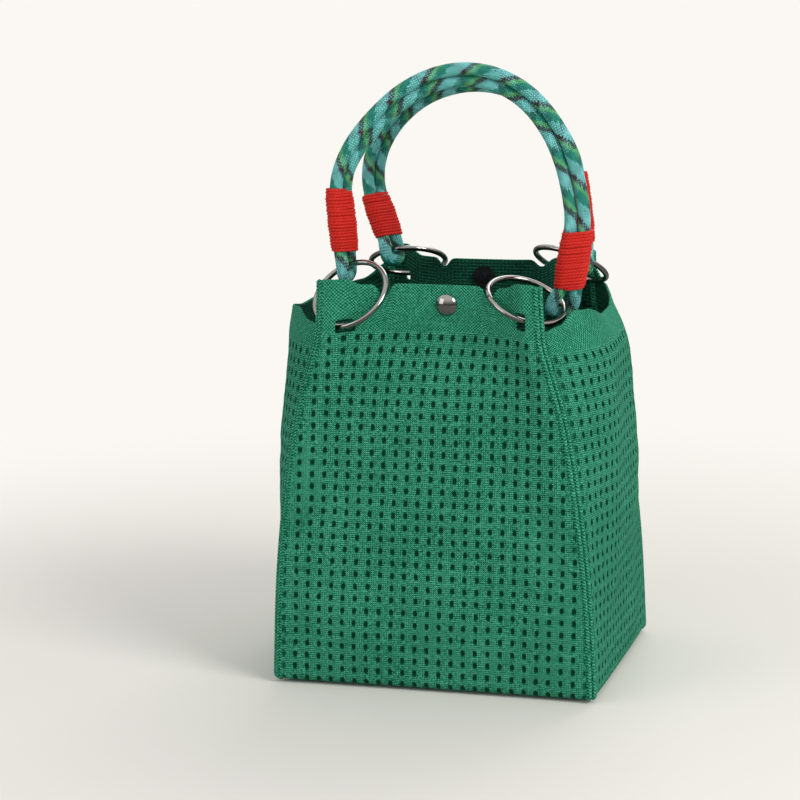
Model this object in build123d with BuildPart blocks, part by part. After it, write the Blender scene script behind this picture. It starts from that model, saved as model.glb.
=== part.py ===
# Knitted mesh bucket bag: tapered body, pinched mouth, four corner rings,
# two rope handles with cord whippings, and a snap fastener.
# Millimetres. X runs across the front, Y to the back, Z up.
# The origin is the centre of the base, on the surface the bag stands on.
from build123d import *
from math import cos, pi, radians, sin, tan
import os

os.makedirs("parts", exist_ok=True)

# ---- driving sizes of the body ----
base_width = 200.0       # outside, across the front, at the base
base_depth = 160.0       # outside, front to back, at the base
mouth_width = 135.0      # ridge to ridge at the top
mouth_depth = 154.0
body_height = 248.0      # to the top of the corner tabs
knit_wall = 2.4          # thickness of the knitted fabric
base_wall = 3.0          # thickness of the base
base_corner = 7.0        # its corners are round, clear of the ribs
rib_size = 4.0           # square section of a corner rib
seat_gap = 0.3           # between pieces that lie against each other
ring_wire = 3.4

# ---- how the body tapers and pinches on its way up ----
# each level: share of the height, of the taper, of the pinch and of the side bulge
body_levels = (
    (0.00, 0.00, 0.03, 0.02),
    (0.24, 0.09, 0.04, 0.12),
    (0.48, 0.28, 0.07, 0.40),
    (0.69, 0.56, 0.25, 0.66),
    (0.80, 0.81, 0.60, 0.86),
    (0.87, 0.95, 1.00, 1.00),
)
top_level = (1.00, 1.00, 1.00, 1.00)
band_start = body_levels[-1][0]
ring_room = 4.1          # left behind a ring's wire, where it passes the corner strip
corner_step = ring_wire + ring_room        # the panel steps back by this much there
pinch_depth = 13.0       # the middle of the rim stands back by this much more
pinch_curve = ((0.74, 0.50), (0.50, 0.92), (0.30, 1.00))   # share of the half width, share of the pinch
side_bulge = 30.0        # the gusset's middle stands out by this much at its rim
bulge_curve = ((0.80, 0.62), (0.55, 0.90), (0.25, 1.00))
strip_width = 9.0        # flat corner strip that a ring passes behind
step_run = 3.6           # width of the step beside the strip

# ---- rims ----
tab_top = body_height
middle_rim_drop = 5.0    # front rim below the tabs, at the middle
ring_rim_drop = 12.0     # front rim below the tabs, under each ring
tab_slope_drop = 4.0     # height of the tab's steep inner edge
tab_inner_x = mouth_width / 2 - 18.5      # that edge
ring_rim_outer_x = mouth_width / 2 - 24.0  # the low stretch of the rim
ring_rim_inner_x = mouth_width / 2 - 38.5
side_rim_drop = 28.5     # side rims below the tabs
side_rim = body_height - side_rim_drop
side_hem_height = 12.0
hem_start = side_rim - side_hem_height

# ---- rings ----
ring_outer = 50.0
ring_middle = (ring_outer - ring_wire) / 2
slot_height = 18.0       # slit in the band that a ring passes through
slot_low = body_height - 32.0
slot_width = 11.0
slot_x = mouth_width / 2 - 14.5
# how each ring rests: its centre, inward from the mouth's corner and down from the tabs,
# and the direction of its axis
ring_rest = {
    "front_left_ring": ((14.2, 21.7, 12.0), (-0.235, -0.689, 0.686)),
    "front_right_ring": ((15.0, 28.1, 13.7), (0.372, -0.282, 0.884)),
    "back_left_ring": ((19.8, 26.7, 7.2), (-0.129, 0.451, 0.883)),
    "back_right_ring": ((10.5, 26.0, 6.5), (0.250, 0.470, 0.850)),
}

# ---- rope handles: each is one endless rope, doubled, and whipped above each ring ----
rope_diameter = 7.6
rope_pitch = 7.9         # between the two strands
loop_clearance = 1.1     # between the rope and the ring's wire inside it
loop_radius = (rope_diameter + ring_wire) / 2 + loop_clearance
loop_start = 3.0         # the rope's legs are that far apart from this height above the wire
leg_bend = 2.6           # reach of the bend there
rope_end_gap = 0.6       # the two ends of the rope meet inside the left whipping
whipping_wall = 1.2
whipping_clearance = 0.15
whipping_low = 2.4       # a whipping starts this far above the rope's lower bend
whipping_high = 4.0      # and stops this far below its upper bend
upper_bend = 5.0         # reach of that bend

# each handle's middle line, from its left ring to its right ring, with heights above the tabs:
# the two ends are on the rings' wires, and the two points next to each end are the lower and
# upper ends of a whipping's run
handle_lines = {
    "front_handle": (
        (-60.6, -38.5, 2.4), (-61.0, -39.5, 11.0), (-62.8, -44.0, 51.5), (-55.2, -42.0, 71.5),
        (-41.8, -38.0, 89.0), (-23.3, -33.0, 106.0), (0.0, -28.0, 116.0), (25.0, -26.0, 115.5),
        (48.0, -27.0, 104.5), (64.6, -30.0, 86.0), (74.2, -33.0, 66.0), (79.3, -36.0, 47.0),
        (81.5, -38.0, 29.5), (75.6, -38.0, -7.6), (71.2, -35.6, -17.3),
    ),
    "back_handle": (
        (-52.2, 29.7, 2.7), (-53.8, 30.0, 10.5), (-64.0, 31.5, 39.0), (-63.0, 28.5, 56.0),
        (-55.5, 22.5, 72.5), (-41.0, 14.5, 89.5), (-19.5, 5.0, 103.5), (7.0, -2.0, 110.5),
        (31.5, -1.0, 107.0), (48.5, 7.0, 94.0), (60.0, 17.5, 75.5), (66.0, 26.0, 56.0),
        (70.0, 31.5, 9.0), (69.7, 32.6, 0.0),
    ),
}
# how far the outer strand leans to the front, in degrees, at the left end and at the right end
strand_lean = {"front_handle": (60, -15), "back_handle": (50, 53)}
# across the rope's loop on each ring
loop_across = {
    "front_handle": ((-0.05, -1.00, 0.00), (0.78, 0.59, -0.21)),
    "back_handle": ((-0.35, -0.94, 0.00), (0.45, -0.89, 0.10)),
}

# ---- snap fastener ----
front_snap_x = 6.0
back_snap_x = 0.5
snap_z = body_height - 16.5
snap_seat = 0.1          # between the snap's pieces and the band
cap_diameter = 12.6
cap_height = 3.2
cap_edge = 0.8           # height of the cap's straight edge
post_diameter = 3.0
post_clearance = 0.05
socket_diameter = 12.0
socket_height = 3.2
stud_base_diameter = 13.4
stud_base_height = 1.6
stud_diameter = 4.2
stud_height = 2.4
stud_clearance = 0.15
rivet_diameter = 9.0
rivet_height = 1.0


def half_width(level):
    return (base_width - (base_width - mouth_width) * level[1]) / 2


def half_depth(level):
    return (base_depth - (base_depth - mouth_depth) * level[1]) / 2


def level_at(height):
    # the body between two levels changes evenly
    share = height / body_height
    levels = body_levels + (top_level,)
    for low, high in zip(levels, levels[1:]):
        if share <= high[0]:
            part = (share - low[0]) / (high[0] - low[0])
            return tuple(a + (b - a) * part for a, b in zip(low, high))
    return top_level


def panel_outline(level, inset):
    # one long face of a front panel in plan, from the right rib to the left rib
    side = half_width(level) - rib_size
    face = -half_depth(level) + inset
    step = corner_step * level[2]
    strip_end = side - strip_width - inset * 0.4
    step_end = strip_end - step_run
    half = [(side, face), (strip_end, face), (step_end, face + step)]
    for width_share, pinch_share in pinch_curve:
        half.append((step_end * width_share, face + step + pinch_depth * level[2] * pinch_share))
    return half + [(-x, y) for x, y in reversed(half)]


def panel_section(level, height):
    # closed plan section of a front panel at one height
    outline = panel_outline(level, 0) + list(reversed(panel_outline(level, knit_wall)))
    with BuildSketch(Plane.XY.offset(height)) as section:
        with BuildLine():
            Polyline(*outline, close=True)
        make_face()
    return section.sketch


def gusset_section(level, height):
    # closed plan section of the right gusset at one height
    reach = half_depth(level) - rib_size
    outer = half_width(level)
    half = [(outer, reach)]
    for depth_share, bulge_share in bulge_curve:
        half.append((outer + side_bulge * level[3] * bulge_share, reach * depth_share))
    outline = half + [(x, -y) for x, y in reversed(half)]
    outline += [(x - knit_wall, y) for x, y in reversed(outline)]
    with BuildSketch(Plane.XY.offset(height)) as section:
        with BuildLine():
            Polyline(*outline, close=True)
        make_face()
    return section.sketch


def rib_section(level, height):
    x = half_width(level) - rib_size / 2
    y = -half_depth(level) + rib_size / 2
    with BuildSketch(Plane.XY.offset(height)) as section:
        with Locations((x, y)):
            Rectangle(rib_size, rib_size)
    return section.sketch


def levels_between(low, high):
    # the body's levels from one height to another, ends included
    heights = [level[0] * body_height for level in body_levels]
    inside = [height for height in heights if low + 1 < height < high - 1]
    return [(level_at(height), height) for height in [low] + inside + [high]]


def save(part, name):
    part.label = name
    export_step(part, f"parts/{name}.step")


# ---- base ----
base_pinch = (corner_step + pinch_depth) * body_levels[0][2]
with BuildPart() as base_panel:
    with BuildSketch():
        RectangleRounded(base_width - 2 * (knit_wall + seat_gap),
                         base_depth - 2 * (knit_wall + base_pinch + seat_gap), base_corner)
    extrude(amount=base_wall)
save(base_panel.part, "base_panel")

# ---- front and back panels, mesh knit ----
band_low = band_start * body_height
with BuildPart() as front_panel:
    for level, height in levels_between(0, band_low):
        add(panel_section(level, height))
    loft(ruled=True)
save(front_panel.part, "front_panel")
save(mirror(front_panel.part, Plane.XZ), "back_panel")

# ---- front and back bands, dense knit, with the sagging rim and a slit for each ring ----
with BuildPart() as plain_band:
    for level, height in levels_between(band_low, tab_top):
        add(panel_section(level, height))
    loft(ruled=True)
    with BuildSketch(Plane.XZ.offset(mouth_depth)) as rim_cut:
        with BuildLine():
            right_half = [(ring_rim_inner_x, tab_top - ring_rim_drop)]
            right_half += [(ring_rim_outer_x, tab_top - ring_rim_drop)]
            right_half += [(tab_inner_x, tab_top - tab_slope_drop), (tab_inner_x, tab_top + 1)]
            left_half = [(-x, z) for x, z in reversed(right_half)]
            Polyline(*left_half, (0, tab_top - middle_rim_drop), *right_half, close=True)
        make_face()
    extrude(amount=-2 * mouth_depth, mode=Mode.SUBTRACT)
    with Locations((-slot_x, -mouth_depth / 2, slot_low), (slot_x, -mouth_depth / 2, slot_low)):
        Box(slot_width, mouth_depth / 2, slot_height, align=(Align.CENTER, Align.CENTER, Align.MIN),
            mode=Mode.SUBTRACT)

# the band's faces at its middle, where the snap sits
band_face = half_depth(level_at(snap_z)) - corner_step - pinch_depth
band_inner_face = band_face - knit_wall

for name, side, snap_x in (("front_band", -1, front_snap_x), ("back_band", 1, back_snap_x)):
    with BuildPart() as band:
        add(plain_band.part if side < 0 else mirror(plain_band.part, Plane.XZ))
        with Locations(Plane((snap_x, side * band_face, snap_z), z_dir=(0, 1, 0))):
            Cylinder(post_diameter / 2 + post_clearance, 4 * knit_wall, mode=Mode.SUBTRACT)
    save(band.part, name)

# ---- gussets and their hems ----
for name, low, high in (("side_panel", 0, hem_start), ("side_hem", hem_start, side_rim)):
    with BuildPart() as gusset:
        for level, height in levels_between(low, high):
            add(gusset_section(level, height))
        loft(ruled=True)
    save(gusset.part, f"right_{name}")
    save(mirror(gusset.part, Plane.YZ), f"left_{name}")

# ---- corner ribs ----
with BuildPart() as corner_rib:
    for level, height in levels_between(0, tab_top):
        add(rib_section(level, height))
    loft(ruled=True)
front_left = mirror(corner_rib.part, Plane.YZ)
save(corner_rib.part, "front_right_rib")
save(front_left, "front_left_rib")
save(mirror(corner_rib.part, Plane.XZ), "back_right_rib")
save(mirror(front_left, Plane.XZ), "back_left_rib")

# ---- rings ----
for name, (inset, direction) in ring_rest.items():
    inward, forward, down = inset
    x = (mouth_width / 2 - inward) * (1 if "right" in name else -1)
    y = (mouth_depth / 2 - forward) * (1 if "back" in name else -1)
    with BuildPart(Plane((x, y, body_height - down), z_dir=direction)) as ring:
        Torus(ring_middle, ring_wire / 2)
    save(ring.part, name)


# ---- snap fastener: cap and socket on the front band, stud and rivet on the back band ----
def disc(plane, diameter, height, hole_diameter=0):
    # a round piece that stands on a plane
    with BuildPart() as made:
        with BuildSketch(plane):
            Circle(diameter / 2)
            if hole_diameter:
                Circle(hole_diameter / 2, mode=Mode.SUBTRACT)
        extrude(amount=height)
    return made.part


dome_rise = cap_height - cap_edge
cap_dome = (cap_diameter ** 2 / 4 + dome_rise ** 2) / (2 * dome_rise)
post_hole = post_diameter + 2 * post_clearance
front_out = Plane((front_snap_x, -band_face - snap_seat, snap_z), x_dir=(1, 0, 0), z_dir=(0, -1, 0))
front_in = Plane((front_snap_x, -band_inner_face + snap_seat, snap_z), x_dir=(1, 0, 0), z_dir=(0, 1, 0))
back_out = Plane((back_snap_x, band_face + snap_seat, snap_z), x_dir=(1, 0, 0), z_dir=(0, 1, 0))
back_in = Plane((back_snap_x, band_inner_face - snap_seat, snap_z), x_dir=(1, 0, 0), z_dir=(0, -1, 0))

with BuildPart() as snap_cap:
    with BuildSketch(Plane(front_out.origin, x_dir=(1, 0, 0), z_dir=(0, 0, -1))):
        with BuildLine():
            Line((0, 0), (cap_diameter / 2, 0))
            Line((cap_diameter / 2, 0), (cap_diameter / 2, cap_edge))
            RadiusArc((cap_diameter / 2, cap_edge), (0, cap_height), -cap_dome)
            Line((0, cap_height), (0, 0))
        make_face()
    revolve(axis=Axis(front_out.origin, front_out.z_dir))
    post_length = knit_wall + 2 * snap_seat + socket_height - stud_height - stud_clearance
    add(disc(front_out, post_diameter, -post_length))
save(snap_cap.part, "snap_cap")

with BuildPart() as snap_socket:
    add(disc(front_in, socket_diameter, socket_height, post_hole))
    mouth = front_in.offset(socket_height)
    add(disc(mouth, stud_diameter + 2 * stud_clearance, -stud_height - stud_clearance), mode=Mode.SUBTRACT)
save(snap_socket.part, "snap_socket")

with BuildPart() as snap_stud:
    add(disc(back_in, stud_base_diameter, stud_base_height, post_hole))
    add(disc(back_in.offset(stud_base_height), stud_diameter, stud_height))
save(snap_stud.part, "snap_stud")

with BuildPart() as snap_rivet:
    add(disc(back_out, rivet_diameter, rivet_height))
    add(disc(back_out, post_diameter, -(knit_wall + 2 * snap_seat + stud_base_height)))
save(snap_rivet.part, "snap_rivet")


# ---- rope handles and their whippings ----
def across_line(before, after, lean):
    # square to the line, outwards from the handle's middle, and turned to the front by lean
    along = (after - before).normalized()
    outward = along.cross(Vector(0, 1, 0)).normalized()
    frontward = along.cross(outward).normalized()
    frontward = frontward if frontward.Y < 0 else -frontward
    return outward * cos(radians(lean)) + frontward * sin(radians(lean))


def rope_loop(wire, whipping_end, across):
    # the rope's way round a ring's wire, from one leg to the other, with the reach of each bend
    up = (whipping_end - wire).normalized()
    across = (across - up * across.dot(up)).normalized() * loop_radius
    bend = loop_radius - 0.05
    return [(wire + across + up * loop_start, leg_bend), (wire + across - up * loop_radius, bend),
            (wire - across - up * loop_radius, bend), (wire - across + up * loop_start, leg_bend)]


def rope_path(route):
    # straight runs joined by tangent arcs
    points = [point for point, reach in route]
    radii = []
    for before, (corner, reach), after in zip(points, route[1:], points[2:]):
        run = min((corner - before).length, (after - corner).length)
        half_turn = (corner - before).get_angle(after - corner) / 2
        radii.append((reach or 0.45 * run) / tan(radians(half_turn)))
    print("radii", [round(radius, 1) for radius in radii])
    with BuildLine() as path:
        FilletPolyline(*points, radius=radii)
    return path.wire()


def strand_offsets(held, lean_left, lean_right):
    # from the handle's middle line to its outer strand, at each held point; along a whipping
    # only the whipping's own direction counts
    offsets = []
    last = len(held) - 1
    for index, point in enumerate(held):
        before = point if index in (0, last - 1) else held[index - 1]
        after = point if index in (1, last) else held[index + 1]
        share = max(0, min(1, (index - 1) / (last - 2)))
        lean = lean_left + (lean_right - lean_left) * share
        offsets.append(across_line(before, after, lean) * (rope_pitch / 2))
    return offsets


def handle_rope(route):
    rope_line = rope_path(route)
    with BuildPart() as rope:
        with BuildSketch(Plane(rope_line @ 0, z_dir=rope_line % 0)):
            Circle(rope_diameter / 2)
        sweep(path=rope_line)
    section = pi * rope_diameter ** 2 / 4
    ratio = rope.part.volume / (section * rope_line.length)
    print("rope length", round(rope_line.length), "volume ratio", round(ratio, 4))
    return rope.part


def whipping_sleeve(low, high, offset):
    # round both strands of a handle, on a straight run from low to high
    up = (high - low).normalized()
    with BuildPart() as sleeve:
        with BuildSketch(Plane(low + up * whipping_low, x_dir=offset, z_dir=up)):
            SlotCenterToCenter(rope_pitch, rope_diameter + 2 * (whipping_clearance + whipping_wall))
            SlotCenterToCenter(rope_pitch, rope_diameter + 2 * whipping_clearance, mode=Mode.SUBTRACT)
        extrude(amount=(high - low).length - whipping_low - whipping_high)
    return sleeve.part


for name, line in handle_lines.items():
    middle = [Vector(x, y, body_height + above) for x, y, above in line]
    held = middle[1:-1]
    offsets = strand_offsets(held, *strand_lean[name])
    outer = [(point + offset, None) for point, offset in zip(held, offsets)]
    inner = [(point - offset, None) for point, offset in zip(held, offsets)]
    for strand in (outer, inner):
        for place in (1, -2):
            strand[place] = (strand[place][0], upper_bend)
    left_across, right_across = [Vector(*direction) for direction in loop_across[name]]
    right_loop = rope_loop(middle[-1], middle[-2], right_across)
    left_loop = rope_loop(middle[0], middle[1], -left_across)
    low, high = outer[0][0], outer[1][0]
    half_gap = (high - low).normalized() * (rope_end_gap / 2)
    half_way = (low + high) / 2
    route = [(half_way + half_gap, None)] + outer[1:] + right_loop + inner[::-1] + left_loop
    route += [outer[0], (half_way - half_gap, None)]
    save(handle_rope(route), f"{name}_rope")
    save(whipping_sleeve(held[0], held[1], offsets[0]), f"{name}_left_whipping")
    save(whipping_sleeve(held[-1], held[-2], offsets[-1]), f"{name}_right_whipping")
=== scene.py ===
import bpy
import math
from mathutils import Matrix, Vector, noise


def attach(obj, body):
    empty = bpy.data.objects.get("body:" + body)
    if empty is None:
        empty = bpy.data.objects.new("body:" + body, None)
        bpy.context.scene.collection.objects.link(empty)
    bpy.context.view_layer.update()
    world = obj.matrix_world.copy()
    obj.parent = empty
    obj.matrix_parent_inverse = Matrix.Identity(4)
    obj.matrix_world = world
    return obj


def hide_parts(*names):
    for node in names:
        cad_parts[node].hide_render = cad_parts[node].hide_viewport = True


# Knitted mesh bucket bag with braided rope handles, whipped with red cord.
# Sizes are millimetres until a point is placed, and mm turns them to metres.
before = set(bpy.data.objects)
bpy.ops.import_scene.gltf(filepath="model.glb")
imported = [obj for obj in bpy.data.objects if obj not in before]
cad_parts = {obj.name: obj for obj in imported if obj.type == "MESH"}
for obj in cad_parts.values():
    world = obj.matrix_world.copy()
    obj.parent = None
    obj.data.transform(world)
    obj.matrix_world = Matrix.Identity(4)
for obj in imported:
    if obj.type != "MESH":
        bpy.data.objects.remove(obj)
bpy.ops.object.select_all(action="DESELECT")
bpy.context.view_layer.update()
scene = bpy.context.scene
mm = 0.001
print("frame loaded")


def linear(hexColour):
    parts = [int(hexColour[i:i + 2], 16) / 255 for i in (1, 3, 5)]
    return [c / 12.92 if c <= 0.04045 else ((c + 0.055) / 1.055) ** 2.4 for c in parts] + [1]


def addNode(material, kind, settings, inputs):
    # a value goes to the socket; a node or a node's socket is linked to it
    made = material.node_tree.nodes.new(kind)
    for name, value in settings.items():
        setattr(made, name, value)
    for socket, value in inputs.items():
        source = value.outputs[0] if isinstance(value, bpy.types.Node) else value
        if isinstance(source, bpy.types.NodeSocket):
            material.node_tree.links.new(source, made.inputs[socket])
        else:
            made.inputs[socket].default_value = source
    return made


def newMaterial(name, values):
    material = bpy.data.materials.new(name)
    material.use_nodes = True
    shader = material.node_tree.nodes["Principled BSDF"]
    for socket, value in values.items():
        shader.inputs[socket].default_value = value
    return material, shader


def fillRamp(rampNode, stops, interpolation="LINEAR"):
    ramp = rampNode.color_ramp
    ramp.interpolation = interpolation
    while len(ramp.elements) < len(stops):
        ramp.elements.new(0.5)
    for element, (place, hexColour) in zip(ramp.elements, stops):
        element.position = place
        element.color = linear(hexColour)


def smoothShare(low, high, value):
    share = max(0, min(1, (value - low) / (high - low)))
    return share * share * (3 - 2 * share)


def selectOnly(piece):
    bpy.ops.object.select_all(action="DESELECT")
    piece.select_set(True)
    bpy.context.view_layer.objects.active = piece


def applyModifiers(piece):
    selectOnly(piece)
    for name in [modifier.name for modifier in piece.modifiers]:
        bpy.ops.object.modifier_apply(modifier=name)


def finishPiece(piece, name, material, body, slotName, *nodes):
    piece.name = name
    piece.data.name = name
    if not piece.data.materials:
        piece.data.materials.append(material)
    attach(piece, body)
    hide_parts(*nodes)
    print(name, len(piece.data.polygons), "faces")


# camera: a long lens, to the right of the front and a little above
view = {
    "azimuth": 14.97,       # degrees to the right of the front
    "elevation": 12.65,
    "roll": -0.68,
    "distance": 1.612,
    "target": (0, 0, 0.130),
    "lens": 117.6,
    "shift": (-0.0789, 0.0658),
}
azimuth, elevation = math.radians(view["azimuth"]), math.radians(view["elevation"])
back = Vector((math.sin(azimuth) * math.cos(elevation), -math.cos(azimuth) * math.cos(elevation),
               math.sin(elevation)))
camera = bpy.data.objects.new("camera", bpy.data.cameras.new("camera"))
scene.collection.objects.link(camera)
camera.location = Vector(view["target"]) + back * view["distance"]
camera.rotation_euler = (-back).to_track_quat("-Z", "Y").to_euler()
camera.rotation_euler.rotate_axis("Z", math.radians(view["roll"]))
camera.data.sensor_width = 36
camera.data.lens = view["lens"]
camera.data.shift_x, camera.data.shift_y = view["shift"]
scene.camera = camera


# studio: pale floor that fades into the backdrop, three soft lamps
studio = {
    "floor": "#F3EFE9",
    "mirroredFloor": "#4A4743",     # the dimmer floor that metal mirrors
    "mirroredShare": 0.8,
    "seen": "#FBF8F3",              # what the camera and the metal see behind the bag
    "fade": (0.22, 0.75),           # the floor turns into the backdrop between these distances
    "world": 0.50,
    "lamps": (                      # place, size, watts
        ((1.35, -0.75, 1.20), 0.8, 16),
        ((-1.30, -1.30, 0.85), 1.1, 5.5),
        ((0.10, 1.20, 1.50), 1.0, 8),
    ),
}
world = bpy.data.worlds.new("studio")
scene.world = world
world.use_nodes = True
background = world.node_tree.nodes["Background"]
background.inputs["Color"].default_value = linear("#FFFFFF")
background.inputs["Strength"].default_value = studio["world"]
seen = addNode(world, "ShaderNodeBackground", {}, {"Color": linear(studio["seen"]), "Strength": 1})
rays = addNode(world, "ShaderNodeLightPath", {}, {})
seenRays = addNode(world, "ShaderNodeMath", {"operation": "MAXIMUM"},
                   {0: rays.outputs["Is Camera Ray"], 1: rays.outputs["Is Transmission Ray"]})
pick = addNode(world, "ShaderNodeMixShader", {}, {0: seenRays, 1: background, 2: seen})
# metal mirrors the backdrop too, bright from above and dim at the sides
direction = addNode(world, "ShaderNodeTexCoord", {}, {}).outputs["Generated"]
heights = addNode(world, "ShaderNodeSeparateXYZ", {}, {0: direction})
mirrored = addNode(world, "ShaderNodeMapRange", {"interpolation_type": "SMOOTHSTEP"}, {
    "Value": heights.outputs["Z"], "From Min": -0.05, "From Max": 0.7, "To Min": 0.1, "To Max": 1.0})
mirror = addNode(world, "ShaderNodeBackground", {}, {"Color": linear(studio["seen"]), "Strength": mirrored})
allRays = addNode(world, "ShaderNodeMixShader", {}, {0: rays.outputs["Is Glossy Ray"], 1: pick, 2: mirror})
world.node_tree.links.new(allRays.outputs[0], world.node_tree.nodes["World Output"].inputs["Surface"])

floorMaterial, floorShader = newMaterial("studio_floor", {
    "Base Color": linear(studio["floor"]), "Roughness": 0.9, "Specular IOR Level": 0.2})
floorPlace = addNode(floorMaterial, "ShaderNodeTexCoord", {}, {})
floorReach = addNode(floorMaterial, "ShaderNodeVectorMath", {"operation": "LENGTH"},
                     {0: floorPlace.outputs["Object"]})
floorFade = addNode(floorMaterial, "ShaderNodeMapRange", {"interpolation_type": "SMOOTHSTEP"}, {
    "Value": floorReach.outputs["Value"], "From Min": studio["fade"][0], "From Max": studio["fade"][1]})
floorRays = addNode(floorMaterial, "ShaderNodeLightPath", {}, {})
floorShare = addNode(floorMaterial, "ShaderNodeMath", {"operation": "MULTIPLY"},
                     {0: floorFade, 1: floorRays.outputs["Is Camera Ray"]})
floorSeen = addNode(floorMaterial, "ShaderNodeEmission", {}, {
    "Color": linear(studio["seen"]), "Strength": 1})
floorMix = addNode(floorMaterial, "ShaderNodeMixShader", {}, {0: floorShare, 1: floorShader, 2: floorSeen})
floorDim = addNode(floorMaterial, "ShaderNodeMath", {"operation": "MULTIPLY"},
                   {0: floorRays.outputs["Is Glossy Ray"], 1: studio["mirroredShare"]})
floorDark = addNode(floorMaterial, "ShaderNodeEmission", {}, {
    "Color": linear(studio["mirroredFloor"]), "Strength": 1})
floorAll = addNode(floorMaterial, "ShaderNodeMixShader", {}, {0: floorDim, 1: floorMix, 2: floorDark})
floorOutput = floorMaterial.node_tree.nodes["Material Output"]
floorMaterial.node_tree.links.new(floorAll.outputs[0], floorOutput.inputs["Surface"])
bpy.ops.mesh.primitive_plane_add(size=6, location=(0, 0, -0.0004))
floor = bpy.context.object
floor.name = "floor"
floor.data.materials.append(floorMaterial)
for index, (place, size, watts) in enumerate(studio["lamps"]):
    lamp = bpy.data.lights.new(f"lamp{index}", "AREA")
    lamp.size = size
    lamp.energy = watts
    lampObject = bpy.data.objects.new(f"lamp{index}", lamp)
    scene.collection.objects.link(lampObject)
    lampObject.location = place
    lampObject.rotation_euler = (Vector(place) - Vector((0, 0, 0.15))).to_track_quat("Z", "Y").to_euler()
scene.view_settings.view_transform = "Standard"
print("camera and studio ready")


# Cloth carries its own UV map in millimetres: U across it, V up it.
eyeletPitch = 7.5       # from the middle of one eyelet to the next
yarn = {
    # web: the colour of an eyelet's pit, painted shade
    "web": "#043A25",
    "shade": "#033A26",
    "body": "#107A5A",
    "light": "#5CC09E",
}
# the inside's colours, darker than the yarn's: painted shade
liningPaintedShade = {
    "shade": "#03271B",
    "body": "#0C4A37",
    "light": "#237259",
}
fibre = {"Roughness": 0.8, "Specular IOR Level": 0.15}


def finishYarn(material, shader, height, stops, depth, contrast, fuzziness):
    # colour and bump from one height, with slow changes of tone over the cloth: the colour is painted shade
    # where the height is low and painted highlight where it is high
    place = addNode(material, "ShaderNodeTexCoord", {}, {}).outputs["Object"]
    tone = addNode(material, "ShaderNodeTexNoise", {}, {"Vector": place, "Scale": 24, "Detail": 3})
    fuzz = addNode(material, "ShaderNodeTexNoise", {}, {"Vector": place, "Scale": 950, "Detail": 4})
    lifted = addNode(material, "ShaderNodeMath", {"operation": "MULTIPLY_ADD"},
                     {0: fuzz, 1: fuzziness, 2: height})
    toned = addNode(material, "ShaderNodeMath", {"operation": "MULTIPLY_ADD"}, {0: tone, 1: 0.3, 2: lifted})
    middle = 0.65 + 0.5 * fuzziness
    spread = addNode(material, "ShaderNodeMapRange", {}, {
        "Value": toned, "From Min": middle - contrast, "From Max": middle + contrast})
    ramp = addNode(material, "ShaderNodeValToRGB", {}, {0: spread})
    fillRamp(ramp, stops)
    bump = addNode(material, "ShaderNodeBump", {}, {
        "Height": lifted, "Distance": depth * mm, "Strength": 0.9})
    material.node_tree.links.new(ramp.outputs[0], shader.inputs["Base Color"])
    material.node_tree.links.new(bump.outputs[0], shader.inputs["Normal"])


# Polyester knit, jacquard machine knitted: rows of small V stitches, matt with a slight silky sheen
def knitMaterial(name, tones, waleWidth, courseHeight, lean, pitch):
    material, shader = newMaterial(name, fibre)
    cloth = addNode(material, "ShaderNodeTexCoord", {}, {}).outputs["UV"]
    axes = addNode(material, "ShaderNodeSeparateXYZ", {}, {0: cloth})
    wale = addNode(material, "ShaderNodeMath", {"operation": "PINGPONG"},
                   {0: axes.outputs["X"], 1: waleWidth / 2})
    course = addNode(material, "ShaderNodeMath", {"operation": "MULTIPLY"},
                     {0: axes.outputs["Y"], 1: 2 * math.pi / courseHeight})
    legs = addNode(material, "ShaderNodeMath", {"operation": "MULTIPLY_ADD"},
                   {0: wale, 1: 2 * math.pi * lean / waleWidth, 2: course})
    wave = addNode(material, "ShaderNodeMath", {"operation": "SINE"}, {0: legs})
    groove = addNode(material, "ShaderNodeMath", {"operation": "MULTIPLY_ADD"},
                     {0: wale, 1: 0.7 / waleWidth, 2: 0.35})
    loops = addNode(material, "ShaderNodeMath", {"operation": "MULTIPLY_ADD"}, {0: wave, 1: 0.34, 2: groove})
    if pitch:
        # the stitches sink into shade round each eyelet
        reach = []
        for axis, squeeze in (("X", 1), ("Y", 0.8)):
            near = addNode(material, "ShaderNodeMath", {"operation": "PINGPONG"},
                           {0: axes.outputs[axis], 1: pitch / 2})
            away = addNode(material, "ShaderNodeMath", {"operation": "MULTIPLY_ADD"},
                           {0: near, 1: -squeeze, 2: squeeze * pitch / 2})
            reach.append(addNode(material, "ShaderNodeMath", {"operation": "POWER"}, {0: away, 1: 2}))
        square = addNode(material, "ShaderNodeMath", {"operation": "ADD"}, {0: reach[0], 1: reach[1]})
        sunk = addNode(material, "ShaderNodeMapRange", {"interpolation_type": "SMOOTHSTEP"}, {
            "Value": square, "From Min": 0.5, "From Max": 4.8, "To Min": -0.5, "To Max": 0.08})
        loops = addNode(material, "ShaderNodeMath", {"operation": "ADD"}, {0: loops, 1: sunk})
    stops = ((0.0, tones["shade"]), (0.5, tones["body"]), (1.0, tones["light"]))
    finishYarn(material, shader, loops, stops, 0.45, 0.62, 2.1)
    return material
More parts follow.
